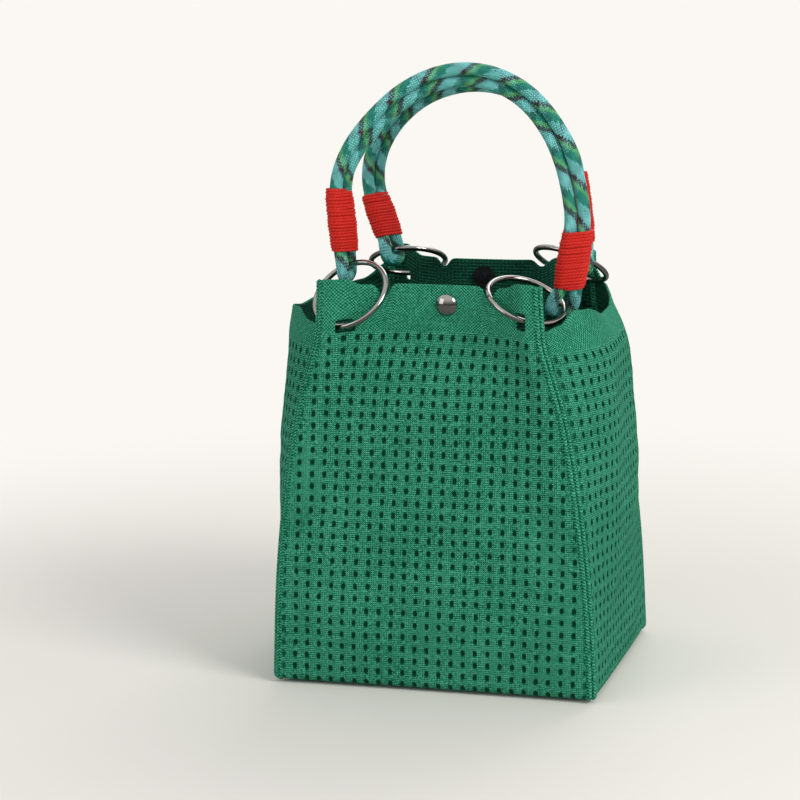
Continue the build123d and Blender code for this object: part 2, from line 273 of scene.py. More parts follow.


# Dense pique knit: small raised knots in staggered rows, pin holes between them painted dark as shade
def piqueMaterial(name, tones, knot):
    material, shader = newMaterial(name, fibre)
    cloth = addNode(material, "ShaderNodeTexCoord", {}, {}).outputs["UV"]
    axes = addNode(material, "ShaderNodeSeparateXYZ", {}, {0: cloth})
    turn = 2 * math.pi / knot
    waves = []
    for axis in ("X", "Y"):
        turned = addNode(material, "ShaderNodeMath", {"operation": "MULTIPLY"},
                         {0: axes.outputs[axis], 1: turn})
        waves.append(addNode(material, "ShaderNodeMath", {"operation": "COSINE"}, {0: turned}))
    crossed = addNode(material, "ShaderNodeMath", {"operation": "MULTIPLY"}, {0: waves[0], 1: waves[1]})
    knots = addNode(material, "ShaderNodeMath", {"operation": "MULTIPLY_ADD"}, {0: crossed, 1: 0.48, 2: 0.55})
    stops = ((0.0, tones["shade"]), (0.5, tones["body"]), (1.0, tones["light"]))
    finishYarn(material, shader, knots, stops, 0.45, 0.6, 1.4)
    return material


# a stitch's width and height in millimetres, how steep its V is, and the eyelets' pitch
meshKnit = knitMaterial("polyester_eyelet_knit", yarn, 1.25, 1.24, 0.9, eyeletPitch)
denseKnit = piqueMaterial("polyester_pique_knit", yarn, 2.1)
ribWale = 3.4       # three of these go round a corner rib's cord
ribKnit = knitMaterial("polyester_rib_knit", yarn, ribWale, 1.9, 1.4, 0)
# The inside of the cloth: the knit's reverse, ribbed across, painted darker as shade for the bag's inside
meshReverse = knitMaterial("polyester_knit_reverse_painted_shade", liningPaintedShade, 2.5, 2.4, 0.2, eyeletPitch)
denseReverse = knitMaterial("polyester_band_reverse_painted_shade", liningPaintedShade, 2.5, 2.4, 0.2, 0)
# The thin web at the bottom of an eyelet: the same yarn, painted dark as shade, dull
eyeletShadeWeb = newMaterial("polyester_eyelet_web_painted_shade", {
    "Base Color": linear(yarn["web"]), "Roughness": 0.95, "Specular IOR Level": 0.1})[0]


# Rope sheath braided from coloured polyester filament: glossy, each colour breaking into the next.
# Its UV map counts carriers, round the rope and along it.
braidColours = (    # where each colour starts round the sheath, for the two ways the bands turn
    ((0.0, "#452F40"), (0.17, "#68C276"), (0.32, "#128A78"), (0.60, "#7CD8D6")),
    ((0.0, "#128A78"), (0.24, "#7CD8D6"), (0.52, "#3B2A3A"), (0.72, "#2BA58F")),
)


def braidMaterial(name, carriers):
    material, shader = newMaterial(name, {"Roughness": 0.45, "Specular IOR Level": 0.4})
    sheath = addNode(material, "ShaderNodeTexCoord", {}, {}).outputs["UV"]
    axes = addNode(material, "ShaderNodeSeparateXYZ", {}, {0: sheath})
    # filaments run nearly along the rope, and some stray from one colour into the next
    drawn = addNode(material, "ShaderNodeVectorMath", {"operation": "MULTIPLY"},
                    {0: sheath, 1: (1.15, 0.28, 1)})
    stray = addNode(material, "ShaderNodeTexNoise", {}, {"Vector": drawn, "Scale": 1.6, "Detail": 3})
    swells, hairs, colours, floors = [], [], [], []
    for operation, stops in zip(("ADD", "SUBTRACT"), braidColours):
        lay = addNode(material, "ShaderNodeMath", {"operation": operation},
                      {0: axes.outputs["X"], 1: axes.outputs["Y"]})
        floors.append(addNode(material, "ShaderNodeMath", {"operation": "FLOOR"}, {0: lay}))
        strayed = addNode(material, "ShaderNodeMath", {"operation": "MULTIPLY_ADD"},
                          {0: stray, 1: 6.5, 2: lay})
        place = addNode(material, "ShaderNodeMath", {"operation": "FLOORED_MODULO"},
                        {0: strayed, 1: carriers})
        share = addNode(material, "ShaderNodeMath", {"operation": "DIVIDE"}, {0: place, 1: carriers})
        ramp = addNode(material, "ShaderNodeValToRGB", {}, {0: share})
        fillRamp(ramp, stops, "CONSTANT")
        colours.append(ramp)
        halfTurns = addNode(material, "ShaderNodeMath", {"operation": "MULTIPLY"}, {0: lay, 1: math.pi})
        wave = addNode(material, "ShaderNodeMath", {"operation": "SINE"}, {0: halfTurns})
        swells.append(addNode(material, "ShaderNodeMath", {"operation": "ABSOLUTE"}, {0: wave}))
        # four filaments show in each carrier
        hairTurns = addNode(material, "ShaderNodeMath", {"operation": "MULTIPLY"},
                            {0: lay, 1: 8 * math.pi})
        hairs.append(addNode(material, "ShaderNodeMath", {"operation": "SINE"}, {0: hairTurns}))
    cells = addNode(material, "ShaderNodeMath", {"operation": "ADD"}, {0: floors[0], 1: floors[1]})
    crossing = addNode(material, "ShaderNodeMath", {"operation": "FLOORED_MODULO"}, {0: cells, 1: 2})
    under = addNode(material, "ShaderNodeMath", {"operation": "MULTIPLY"}, {0: crossing, 1: 0.55})
    mixed = addNode(material, "ShaderNodeMix", {"data_type": "RGBA"}, {
        "Factor": under, "A": colours[0], "B": colours[1]})
    swell = addNode(material, "ShaderNodeMath", {"operation": "MULTIPLY"}, {0: swells[0], 1: swells[1]})
    hair = addNode(material, "ShaderNodeMix", {"data_type": "FLOAT"}, {
        "Factor": crossing, "A": hairs[0], "B": hairs[1]})
    haired = addNode(material, "ShaderNodeMath", {"operation": "MULTIPLY_ADD"}, {0: hair, 1: 0.2, 2: swell})
    height = addNode(material, "ShaderNodeMath", {"operation": "MULTIPLY_ADD"}, {0: stray, 1: 1.6, 2: haired})
    # the colour is darkened where the braid lies low, between strands, as painted shade, and lightened up to
    # 1.35 times on the raised strands as painted highlight; the stray noise in the height also makes the tone
    # uneven
    dark = addNode(material, "ShaderNodeMapRange", {}, {
        "Value": height, "From Min": 0.6, "From Max": 1.6, "To Min": 0.22, "To Max": 1.35})
    shaded = addNode(material, "ShaderNodeMix", {"data_type": "RGBA", "blend_type": "MULTIPLY"}, {
        "Factor": 1.0, "A": mixed.outputs["Result"], "B": dark})
    bump = addNode(material, "ShaderNodeBump", {}, {
        "Height": height, "Distance": 0.22 * mm, "Strength": 0.8})
    material.node_tree.links.new(shaded.outputs["Result"], shader.inputs["Base Color"])
    material.node_tree.links.new(bump.outputs[0], shader.inputs["Normal"])
    return material


# Twisted polyester whipping cord, dyed red, satin. U turns once round it, V is millimetres along it.
# dark red in the low parts of the twist is painted shade, light red on the raised strands painted highlight
redShadedTones = ((0.0, "#96110B"), (0.5, "#D42216"), (1.0, "#E63C2A"))


def whippingMaterial(name, layLength):
    material, shader = newMaterial(name, {"Roughness": 0.6, "Specular IOR Level": 0.3})
    cord = addNode(material, "ShaderNodeTexCoord", {}, {}).outputs["UV"]
    axes = addNode(material, "ShaderNodeSeparateXYZ", {}, {0: cord})
    alongTurns = addNode(material, "ShaderNodeMath", {"operation": "DIVIDE"},
                         {0: axes.outputs["Y"], 1: layLength})
    lay = addNode(material, "ShaderNodeMath", {"operation": "MULTIPLY_ADD"},
                  {0: axes.outputs["X"], 1: 2, 2: alongTurns})
    turns = addNode(material, "ShaderNodeMath", {"operation": "MULTIPLY"}, {0: lay, 1: 2 * math.pi})
    wave = addNode(material, "ShaderNodeMath", {"operation": "SINE"}, {0: turns})
    strands = addNode(material, "ShaderNodeMath", {"operation": "MULTIPLY_ADD"}, {0: wave, 1: 0.2, 2: 0.5})
    finishYarn(material, shader, strands, redShadedTones, 0.2, 0.9, 0.5)
    return material


# Dark nickel plate on polished steel: near mirror, with faint handling marks
def nickelMaterial(name, colour, roughness):
    material, shader = newMaterial(name, {"Metallic": 1.0, "Base Color": linear(colour)})
    place = addNode(material, "ShaderNodeTexCoord", {}, {}).outputs["Object"]
    marks = addNode(material, "ShaderNodeTexNoise", {}, {"Vector": place, "Scale": 260, "Detail": 4})
    spread = addNode(material, "ShaderNodeMapRange", {}, {
        "Value": marks, "To Min": roughness * 0.7, "To Max": roughness * 1.5})
    bump = addNode(material, "ShaderNodeBump", {}, {
        "Height": marks, "Distance": 0.01 * mm, "Strength": 0.5})
    material.node_tree.links.new(spread.outputs[0], shader.inputs["Roughness"])
    material.node_tree.links.new(bump.outputs[0], shader.inputs["Normal"])
    return material


ropeBraid = braidMaterial("polyester_rope_braid", 16)
redCord = whippingMaterial("polyester_whipping_cord", 1.9)
nickel = nickelMaterial("dark_nickel_plate", "#A3A2A0", 0.07)
capNickel = nickelMaterial("dark_nickel_cap", "#A5A4A1", 0.08)
# Black lacquered brass: satin black with slow changes of tone
blackLacquer, blackShader = newMaterial("black_lacquered_brass", {"Roughness": 0.32, "Coat Weight": 0.4})
blackPlace = addNode(blackLacquer, "ShaderNodeTexCoord", {}, {}).outputs["Object"]
blackMarks = addNode(blackLacquer, "ShaderNodeTexNoise", {}, {
    "Vector": blackPlace, "Scale": 420, "Detail": 3})
blackTones = addNode(blackLacquer, "ShaderNodeValToRGB", {}, {0: blackMarks})
fillRamp(blackTones, ((0.35, "#0E0F12"), (0.75, "#26282C")))
blackLacquer.node_tree.links.new(blackTones.outputs[0], blackShader.inputs["Base Color"])
print("materials ready")


# hardware: the CAD nodes keep their shape and get their finish
hardware = {
    "front_left_ring": nickel, "front_right_ring": nickel,
    "back_left_ring": nickel, "back_right_ring": nickel,
    "snap_cap": capNickel, "snap_rivet": capNickel,
    "snap_socket": blackLacquer, "snap_stud": blackLacquer,
}
for nodeName, material in hardware.items():
    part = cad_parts[nodeName]
    part.data.materials.clear()
    part.data.materials.append(material)


# body shape: the sewn body's own sizes and levels
bag = {
    "baseWidth": 200, "baseDepth": 160, "mouthWidth": 135, "mouthDepth": 154, "height": 248,
    "rib": 4, "wall": 2.0, "tuck": 0.8,
    # share of height, then of taper, pinch and side bulge
    "levels": ((0, 0, .03, .02), (.24, .09, .04, .12), (.48, .28, .07, .40), (.69, .56, .25, .66),
               (.80, .81, .60, .86), (.87, .95, 1, 1), (1, 1, 1, 1)),
    "step": 7.5, "strip": 9, "stepRun": 3.6, "pinch": 13,
    "pinchRun": 0.70, "bulgeRun": 0.75,     # shares of a half width that curve in, or out
    "bandLow": 215.8, "hemLow": 207.5, "sideRim": 219.5,
    "tabEdge": (42, 53),                # a tab's edge climbs between these places
    "footRadius": 6, "underFoot": 0.5,
    "ridgeCalm": 16, "footCalm": 22,    # the dents die out this near a ridge or the base
}
# knit: a grid of cells, with an eyelet in every third column and row
knit = {
    "cell": eyeletPitch / 3,
    "border": 3.2,              # an eyelet's middle stands at least this far from a panel's edge
    "edgeCell": 0.45,           # a corner this share of a cell from the edge is moved onto it
    "fan": 0.07,                # the columns draw together by this much at the mouth
    "closing": 0.42,            # the cloth closes on an eyelet from the sides
    "opening": 0.20,            # and opens it up and down
    "wander": (0.22, 0.30),     # how far columns and rows stray
    "relief": (0.32, 0.20, 0.08, -0.24),    # height at a crossing, on a column, on a row, at an eyelet
    "pit": (0.25, -0.8),        # an eyelet's wall, and how deep its web lies on each side
}


def climbFrom(index, axis):
    # how fast a value climbs from one level to the next
    levels = bag["levels"]
    if index == len(levels) - 1:
        return 0
    low, high = levels[index], levels[index + 1]
    return (high[axis] - low[axis]) / (high[0] - low[0])


def levelAt(height):
    # taper, pinch and bulge at a height, on a smooth curve that never overshoots its levels
    levels = bag["levels"]
    share = max(0, min(1, height / bag["height"]))
    index = max(i for i in range(len(levels) - 1) if levels[i][0] <= share)
    low, high = levels[index], levels[index + 1]
    run = high[0] - low[0]
    part = (share - low[0]) / run
    values = []
    for axis in (1, 2, 3):
        rises = [climbFrom(place, axis) for place in (max(index - 1, 0), index, index + 1)]
        slopes = [2 * a * b / (a + b) if a > 0 and b > 0 else 0 for a, b in zip(rises, rises[1:])]
        p2, p3 = part * part, part ** 3
        values.append(low[axis] * (2 * p3 - 3 * p2 + 1) + high[axis] * (3 * p2 - 2 * p3)
                      + slopes[0] * run * (p3 - 2 * p2 + part) + slopes[1] * run * (p3 - p2))
    return values


def halfWidth(taper):
    return (bag["baseWidth"] - (bag["baseWidth"] - bag["mouthWidth"]) * taper) / 2


def halfDepth(taper):
    return (bag["baseDepth"] - (bag["baseDepth"] - bag["mouthDepth"]) * taper) / 2


def footInset(z):
    # the bottom edge is round
    radius = bag["footRadius"]
    low = max(0, radius - z)
    return radius - math.sqrt(radius * radius - low * low)


def frontRim(x, panel):
    # tabs at the corners, nearly straight between, with a small notch under each ring's wire
    rim = panel["middleRim"] + (bag["height"] - panel["middleRim"]) * smoothShare(*bag["tabEdge"], abs(x))
    for middleX, reach, low in panel["notches"]:
        rim = min(rim, low + (rim - low) * smoothShare(1.2, reach, abs(x - middleX)))
    return rim


def dented(x, z, panel):
    # slow waves of slack cloth, small wrinkles, and the few deeper dents
    push = 2.6 * noise.noise(Vector((x / 46, z / 58, panel["seed"])))
    push += 0.9 * noise.noise(Vector((x / 19, z / 15, panel["seed"] + 9)))
    for middleX, middleZ, reachX, reachZ, depth in panel["dents"]:
        push += depth * math.exp(-((x - middleX) / reachX) ** 2 - ((z - middleZ) / reachZ) ** 2)
    return push


def frontPoint(x, z, panel):
    # a strip beside each ridge, a small step, then the panel drawn in toward its middle
    taper, pinch = levelAt(z)[:2]
    side = halfWidth(taper) - bag["rib"]
    stepOuter = side - bag["strip"]
    stepInner = stepOuter - bag["stepRun"]
    inward = bag["step"] * pinch * (1 - smoothShare(stepInner - 1, stepOuter + 1, abs(x)))
    share = max(0, min(1, (1 - abs(x) / stepInner) / bag["pinchRun"]))
    inward += bag["pinch"] * pinch * math.sin(share * math.pi / 2)
    calm = smoothShare(0, bag["ridgeCalm"], side - abs(x)) * smoothShare(0, bag["footCalm"], z)
    inward += dented(x, z, panel) * calm * (1 - 0.75 * smoothShare(200, 222, z))
    return Vector((x, -halfDepth(taper) + inward + footInset(z), z))


def sidePoint(y, z, panel):
    taper, bulge = levelAt(z)[::2]
    reach = halfDepth(taper) - bag["rib"]
    # columns stand closer where the cloth turns outward beside a ridge
    near = max(-1, min(1, y / reach))
    y = reach * (near + 0.4 * bulge * (math.sin(near * math.pi / 2) - near))
    share = max(0, min(1, (1 - abs(y) / reach) / bag["bulgeRun"]))
    # the cloth turns in again toward its rim
    bulge *= 1 - panel["curl"] * smoothShare(196, 228, z)
    outward = panel["bulge"] * bulge * math.sin(share * math.pi / 2) ** 0.7 - footInset(z)
    calm = smoothShare(0, bag["ridgeCalm"], reach - abs(y)) * smoothShare(0, bag["footCalm"], z)
    outward -= dented(y, z, panel) * calm * (1 - 0.6 * smoothShare(190, 215, z))
    return Vector((halfWidth(taper) + outward, y, z))


def sinkEyelets(piece):
    # each eyelet becomes a small pit on both sides, down to a thin web coloured as painted shade
    selectOnly(piece)
    for element in (*piece.data.vertices, *piece.data.edges):
        element.select = False
    for polygon in piece.data.polygons:
        polygon.select = polygon.material_index in (2, 5)
    bpy.ops.object.mode_set(mode="EDIT")
    bpy.ops.mesh.select_mode(type="FACE")
    bpy.ops.mesh.inset(thickness=knit["pit"][0] * mm, depth=knit["pit"][1] * mm, use_individual=True)
    bpy.ops.object.mode_set(mode="OBJECT")


def thickenCloth(piece, thickness):
    # the first three materials are the cloth's outside, the last three its inside
    for material in (meshKnit, denseKnit, eyeletShadeWeb, meshReverse, denseReverse, eyeletShadeWeb):
        piece.data.materials.append(material)
    solid = piece.modifiers.new("cloth", "SOLIDIFY")
    solid.material_offset = 3
    solid.thickness = thickness * mm
    solid.offset = -1
    applyModifiers(piece)
    sinkEyelets(piece)
    smooth = piece.modifiers.new("round", "SUBSURF")
    smooth.levels = smooth.render_levels = 1
    applyModifiers(piece)
    bpy.ops.object.shade_smooth()


def clothPoint(column, row, panel):
    # where a corner of the grid lies on the bag
    cell, seed = knit["cell"], panel["seed"]
    flatX = (column - panel["columns"] / 2) * cell
    z = panel["heightAt"](row, flatX, panel)
    limit = panel["limitAt"](z) - footInset(z)
    straight = flatX * (1 - knit["fan"] * levelAt(z)[0]) + panel["skew"] * z
    inside = abs(straight) < limit - knit["edgeCell"] * cell
    x = straight if inside else math.copysign(limit, straight)
    z = panel["heightAt"](row, x, panel)
    stitched = inside and 1 < row < panel["meshRows"]
    if stitched:
        x += knit["closing"] * (0, 1, -1)[column % 3] * (row % 3 != 0)
        z += knit["opening"] * (0, -1, 1)[row % 3] * (column % 3 != 0)
        x += knit["wander"][0] * noise.noise(Vector((column * 0.41, row * 0.37, seed + 3)))
        z += knit["wander"][1] * noise.noise(Vector((column * 0.33, row * 0.45, seed + 6)))
    point = panel["pointAt"](x, z, panel)
    point.z = max(point.z, bag["underFoot"])
    if stitched:
        # the cloth stands up between the eyelets, most of all along the columns
        kind = 2 * (column % 3 != 0) + (row % 3 != 0)
        point += panel["outward"] * knit["relief"][kind]
    return point


def markFaces(mesh, places, panel):
    # gives each face its material, and selects the faces in the rings' slits
    meshRows = panel["meshRows"]
    for polygon in mesh.polygons:
        corners = [places[i] for i in polygon.vertices]
        column, row = min(c[0] for c in corners), min(c[1] for c in corners)
        centre = sum((mesh.vertices[i].co for i in polygon.vertices), Vector()) / 4
        across = centre.x if panel["outward"].y else centre.y
        eyelet = column % 3 == 1 and row % 3 == 1 and row < meshRows - 1
        eyelet = eyelet and abs(across) < panel["limitAt"](centre.z) - knit["border"]
        polygon.select = any(left < across < right and low < centre.z < high
                             for left, right, low, high in panel["slits"])
        polygon.material_index = 2 if eyelet else int(row >= meshRows)
    for element in (*mesh.vertices, *mesh.edges):
        element.select = False


# knitted panels: a grid of cells, every third one sunk as an eyelet, thickened and smoothed
def knitPanel(panel):
    columns, rows, cell = panel["columns"], panel["rows"], knit["cell"]
    bpy.ops.mesh.primitive_grid_add(x_subdivisions=columns, y_subdivisions=rows, size=1, calc_uvs=True)
    piece = bpy.context.object
    mesh = piece.data
    places = [(round((v.co.x + 0.5) * columns), round((v.co.y + 0.5) * rows)) for v in mesh.vertices]
    uvs = mesh.uv_layers[0].data
    for loop in mesh.loops:
        column, row = places[loop.vertex_index]
        uvs[loop.index].uv = (column * cell, row * cell)
    for vertex, (column, row) in zip(mesh.vertices, places):
        vertex.co = clothPoint(column, row, panel)
    markFaces(mesh, places, panel)
    # the slits are cut away, and the doubled corners at the panel's edges merged
    bpy.ops.object.mode_set(mode="EDIT")
    bpy.ops.mesh.select_mode(type="FACE")
    bpy.ops.mesh.delete(type="FACE")
    bpy.ops.mesh.select_all(action="SELECT")
    bpy.ops.mesh.remove_doubles(threshold=0.05)
    bpy.ops.mesh.delete_loose()
    bpy.ops.object.mode_set(mode="OBJECT")
    for vertex in mesh.vertices:
        vertex.co *= mm
        if panel["turned"]:
            vertex.co.x *= -1
            vertex.co.y *= -1
    thickenCloth(piece, bag["wall"])
    return piece


def frontHeight(row, x, panel):
    # rows climb evenly to the band, and within it to the rim
    meshRows, bandRows = panel["meshRows"], panel["rows"] - panel["meshRows"]
    if row <= meshRows:
        return row * bag["bandLow"] / meshRows
    return bag["bandLow"] + (row - meshRows) / bandRows * (frontRim(x, panel) - bag["bandLow"])


def sideHeight(row, y, panel):
    # rows climb evenly to the hem, and within it to a wavy rim
    meshRows, hemRows = panel["meshRows"], panel["rows"] - panel["meshRows"]
    if row <= meshRows:
        return row * bag["hemLow"] / meshRows
    rimLine = panel["rimLine"]
    rim = rimLine[-1][1]
    for (lowY, lowZ), (highY, highZ) in zip(rimLine, rimLine[1:]):
        if lowY <= y <= highY:
            rim = lowZ + (highZ - lowZ) * smoothShare(lowY, highY, y)
    return bag["hemLow"] + (row - meshRows) / hemRows * (max(rim, bag["sideRim"]) - bag["hemLow"])


def frontLimit(z):
    # a panel's edge lies a little under the corner ribs
    return halfWidth(levelAt(z)[0]) - bag["rib"] + bag["tuck"]


def sideLimit(z):
    return halfDepth(levelAt(z)[0]) - bag["rib"] + bag["tuck"]


# what the front and back have alike, and what the two sides have
frontLayout = {
    "columns": 78, "rows": 100, "meshRows": 87, "outward": Vector((0, -1, 0)), "skew": 0.03,
    "heightAt": frontHeight, "limitAt": frontLimit, "pointAt": frontPoint,
    "flat": (0.198, 0.252), "area": 0.0425,
}
sideLayout = {
    "columns": 63, "rows": 92, "meshRows": 84, "outward": Vector((1, 0, 0)), "skew": 0,
    "heightAt": sideHeight, "limitAt": sideLimit, "pointAt": sidePoint,
    "flat": (0.164, 0.224), "area": 0.0345, "slits": (),
}
# dents are place, height, their reach both ways and depth; slits are left, right, low and high;
# notches in the rim are place, reach and height; a side's rim line is place and height
panels = {
    "front_knit": {
        **frontLayout, "nodes": ("front_panel", "front_band"), "turned": False, "seed": 1.3,
        "dents": ((47, 158, 17, 46, 3.2), (-30, 128, 60, 20, 1.6), (-62, 60, 26, 40, -1.6),
                  (30, 66, 50, 24, 1.4)),
        "slits": ((-56, -46.8, 216.5, 222.6), (50.8, 59, 221, 230)), "middleRim": 243.5,
        "notches": ((-31, 5.2, 236.0), (32.5, 5.6, 236.0)),
    },
    "back_knit": {
        **frontLayout, "nodes": ("back_panel", "back_band"), "turned": True, "seed": 4.1,
        "dents": ((-36, 150, 22, 40, 2.6), (28, 110, 55, 20, 1.8), (50, 50, 26, 34, -1.4)),
        "slits": ((-56, -50.4, 226.4, 234), (50.6, 55.2, 226.4, 231.2)), "middleRim": 242.5,
        "notches": ((-36, 5.4, 237.8), (25.5, 5.2, 237.0)),
    },
    "right_side_knit": {
        **sideLayout, "nodes": ("right_side_panel", "right_side_hem"), "turned": False, "seed": 7.7,
        "dents": ((18, 150, 20, 46, 2.6), (-34, 90, 26, 40, -2.0), (30, 60, 30, 26, 1.6)),
        "bulge": 30, "curl": 0.36,
        "rimLine": ((-80, 219.5), (-60, 223), (-44, 230), (-30, 228.5), (-4, 221.5), (14, 221.5),
                    (34, 224.5), (58, 229), (80, 240)),
    },
    "left_side_knit": {
        **sideLayout, "nodes": ("left_side_panel", "left_side_hem"), "turned": True, "seed": 11.9,
        "dents": ((-12, 140, 24, 44, 2.4), (36, 80, 30, 36, 1.8)),
        "bulge": 34, "curl": 0.1,
        "rimLine": ((-80, 240), (-56, 227), (-28, 222), (4, 222), (34, 226), (50, 228), (66, 222),
                    (80, 220)),
    },
}
for name, panel in panels.items():
    piece = knitPanel(panel)
    finishPiece(piece, name, meshKnit, "bag", "knit", *panel["nodes"])

# base: the same knit, stretched flat
baseCloth = {
    "width": 187, "depth": 147, "corner": 7, "low": 0.4, "thickness": 2.2,
    "columns": 78, "rows": 60, "border": 3,
}
baseColumns, baseRows, border = baseCloth["columns"], baseCloth["rows"], baseCloth["border"]
bpy.ops.mesh.primitive_grid_add(x_subdivisions=baseColumns, y_subdivisions=baseRows, size=1, calc_uvs=True)
base = bpy.context.object
baseUvs = base.data.uv_layers[0].data
for loop in base.data.loops:
    corner = base.data.vertices[loop.vertex_index].co
    baseUvs[loop.index].uv = (corner.x * baseCloth["width"], corner.y * baseCloth["depth"])
for polygon in base.data.polygons:
    column = round((polygon.center.x + 0.5) * baseColumns - 0.5)
    row = round((polygon.center.y + 0.5) * baseRows - 0.5)
    inner = border <= column < baseColumns - border and border <= row < baseRows - border
    polygon.material_index = 2 if column % 3 == 1 and row % 3 == 1 and inner else 0
for vertex in base.data.vertices:
    # mirrored, so that the cloth faces down
    x, y = -vertex.co.x * baseCloth["width"], vertex.co.y * baseCloth["depth"]
    overX = abs(x) - (baseCloth["width"] / 2 - baseCloth["corner"])
    overY = abs(y) - (baseCloth["depth"] / 2 - baseCloth["corner"])
    if overX > 0 and overY > 0:
        far = max(1, math.hypot(overX, overY) / baseCloth["corner"])
        x -= math.copysign(overX * (1 - 1 / far), x)
        y -= math.copysign(overY * (1 - 1 / far), y)
    vertex.co = Vector((x, y, baseCloth["low"])) * mm
thickenCloth(base, baseCloth["thickness"])
finishPiece(base, "base_knit", meshKnit, "bag", "knit", "base_panel")


# tubes: ribs, ropes and cords are all swept as rings of points along a line
def ringFrames(points, firstSide):
    # a side and a front direction at each point, turned as little as possible along the way
    frames = []
    side = Vector(firstSide)
    for index, point in enumerate(points):
        before, after = points[max(index - 1, 0)], points[min(index + 1, len(points) - 1)]
        along = (after - before).normalized()
        side = (side - along * side.dot(along)).normalized()
        frames.append((side.copy(), along.cross(side)))
    return frames


def sweepTube(points, frames, radiusAt, sides, uvAt):
    # vertices, faces and corner UVs of a tube, closed at both ends
    vertices, faces, uvs = [], [], []
    for index, (point, (side, front)) in enumerate(zip(points, frames)):
        for turn in range(sides):
            angle = 2 * math.pi * turn / sides
            radius = radiusAt(index, angle)
            vertices.append(point + (side * math.cos(angle) + front * math.sin(angle)) * radius)
    for index in range(len(points) - 1):
        for turn in range(sides):
            following = (turn + 1) % sides
            low, high = index * sides, (index + 1) * sides
            faces.append((low + turn, low + following, high + following, high + turn))
            corners = (index, turn), (index, turn + 1), (index + 1, turn + 1), (index + 1, turn)
            uvs.append(tuple(uvAt(*corner) for corner in corners))
    last = len(points) - 1
    faces.append(tuple(reversed(range(sides))))
    uvs.append(tuple(uvAt(0, turn) for turn in reversed(range(sides))))
    faces.append(tuple(range(last * sides, (last + 1) * sides)))
    uvs.append(tuple(uvAt(last, turn) for turn in range(sides)))
    return vertices, faces, uvs


def tubePiece(name, tubes):
    vertices, faces, uvs = [], [], []
    for tubeVertices, tubeFaces, tubeUvs in tubes:
        start = len(vertices)
        vertices += [v * mm for v in tubeVertices]
        faces += [tuple(start + i for i in face) for face in tubeFaces]
        uvs += tubeUvs
    mesh = bpy.data.meshes.new(name)
    mesh.from_pydata(vertices, [], faces)
    layer = mesh.uv_layers.new(name="cord")
    flat = [value for face in uvs for corner in face for value in corner]
    layer.data.foreach_set("uv", flat)
    piece = bpy.data.objects.new(name, mesh)
    scene.collection.objects.link(piece)
    selectOnly(piece)
    bpy.ops.object.shade_smooth()
    return piece


# corner ribs: a pair of raised knitted cords on each ridge
rib = {
    "radius": 1.75, "offsets": ((-1.3, -0.9), (0.9, 1.3)), "below": 0.6,    # ends this far below the tabs
    "stitch": 2.3, "ripple": 0.09, "step": 0.8, "sides": 12,
}


def ribTube(offset, signX, signY):
    count = int(bag["height"] / rib["step"])
    points = []
    for index in range(count + 1):
        z = rib["radius"] + (bag["height"] - rib["radius"] - rib["below"]) * index / count
        taper = levelAt(z)[0]
        x = halfWidth(taper) - footInset(z) - bag["rib"] / 2 + offset[0]
        y = footInset(z) - halfDepth(taper) + bag["rib"] / 2 + offset[1]
        points.append(Vector((x * signX, y * signY, z)))
    frames = ringFrames(points, (signX, 0, 0))

    def radiusAt(index, angle):
        ripple = math.sin(2 * math.pi * index * rib["step"] / rib["stitch"] + 1.6 * abs(math.sin(angle)))
        end = min(index, count - index) * rib["step"] / rib["radius"]
        roundEnd = math.sqrt(max(0.05, 1 - (1 - min(end, 1)) ** 2))
        return rib["radius"] * roundEnd * (1 + rib["ripple"] * ripple)

    return sweepTube(points, frames, radiusAt, rib["sides"],
                     lambda index, turn: (turn / rib["sides"] * ribWale * 3, index * rib["step"]))


for nodeName, signX, signY in (("front_right_rib", 1, 1), ("front_left_rib", -1, 1),
                               ("back_right_rib", 1, -1), ("back_left_rib", -1, -1)):
    tubes = [ribTube(offset, signX, signY) for offset in rib["offsets"]]
    pieceName = nodeName + "_cords"
    finishPiece(tubePiece(pieceName, tubes), pieceName, ribKnit, "bag", "knit_rib", nodeName)

# handles: each is one endless braided rope, doubled, looped round its two rings
rope = {
    "diameter": 7.6, "pitch": 7.9, "loopRadius": 6.6, "loopStart": 3.0, "endGap": 0.6,
    "carriers": 16, "turnLength": 25, "sides": 64, "step": 0.52, "relief": 0.16,
    "whippingLow": 0.4, "whippingHigh": 2.4,
}
# each handle: its middle line from the left ring to the right, how far its two strands lean over at
# each end in degrees, and which way its loops lie across the rings
handles = {
    "front_handle": {
        "line": (
            (-60.6, -38.5, 250.4), (-61.0, -39.5, 259.0), (-62.8, -44.0, 299.5), (-55.2, -42.0, 319.5),
            (-41.8, -38.0, 337.0), (-23.3, -33.0, 354.0), (0.0, -28.0, 364.0), (25.0, -26.0, 363.5),
            (48.0, -27.0, 352.5), (64.6, -30.0, 334.0), (74.2, -33.0, 314.0), (79.3, -36.0, 295.0),
            (81.5, -38.0, 277.5), (75.6, -38.0, 240.4), (71.2, -35.6, 230.7),
        ),
        "lean": (60, -15),
        "across": ((-0.05, -1.00, 0.00), (0.78, 0.59, -0.21)),
    },
    "back_handle": {
        "line": (
            (-52.2, 29.7, 250.7), (-53.8, 30.0, 258.5), (-64.0, 31.5, 287.0), (-63.0, 28.5, 304.0),
            (-55.5, 22.5, 320.5), (-41.0, 14.5, 337.5), (-19.5, 5.0, 351.5), (7.0, -2.0, 358.5),
            (31.5, -1.0, 355.0), (48.5, 7.0, 342.0), (60.0, 17.5, 323.5), (66.0, 26.0, 304.0),
            (70.0, 31.5, 257.0), (69.7, 32.6, 248.0),
        ),
        "lean": (50, 53),
        "across": ((-0.35, -0.94, 0.00), (0.45, -0.89, 0.10)),
    },
}


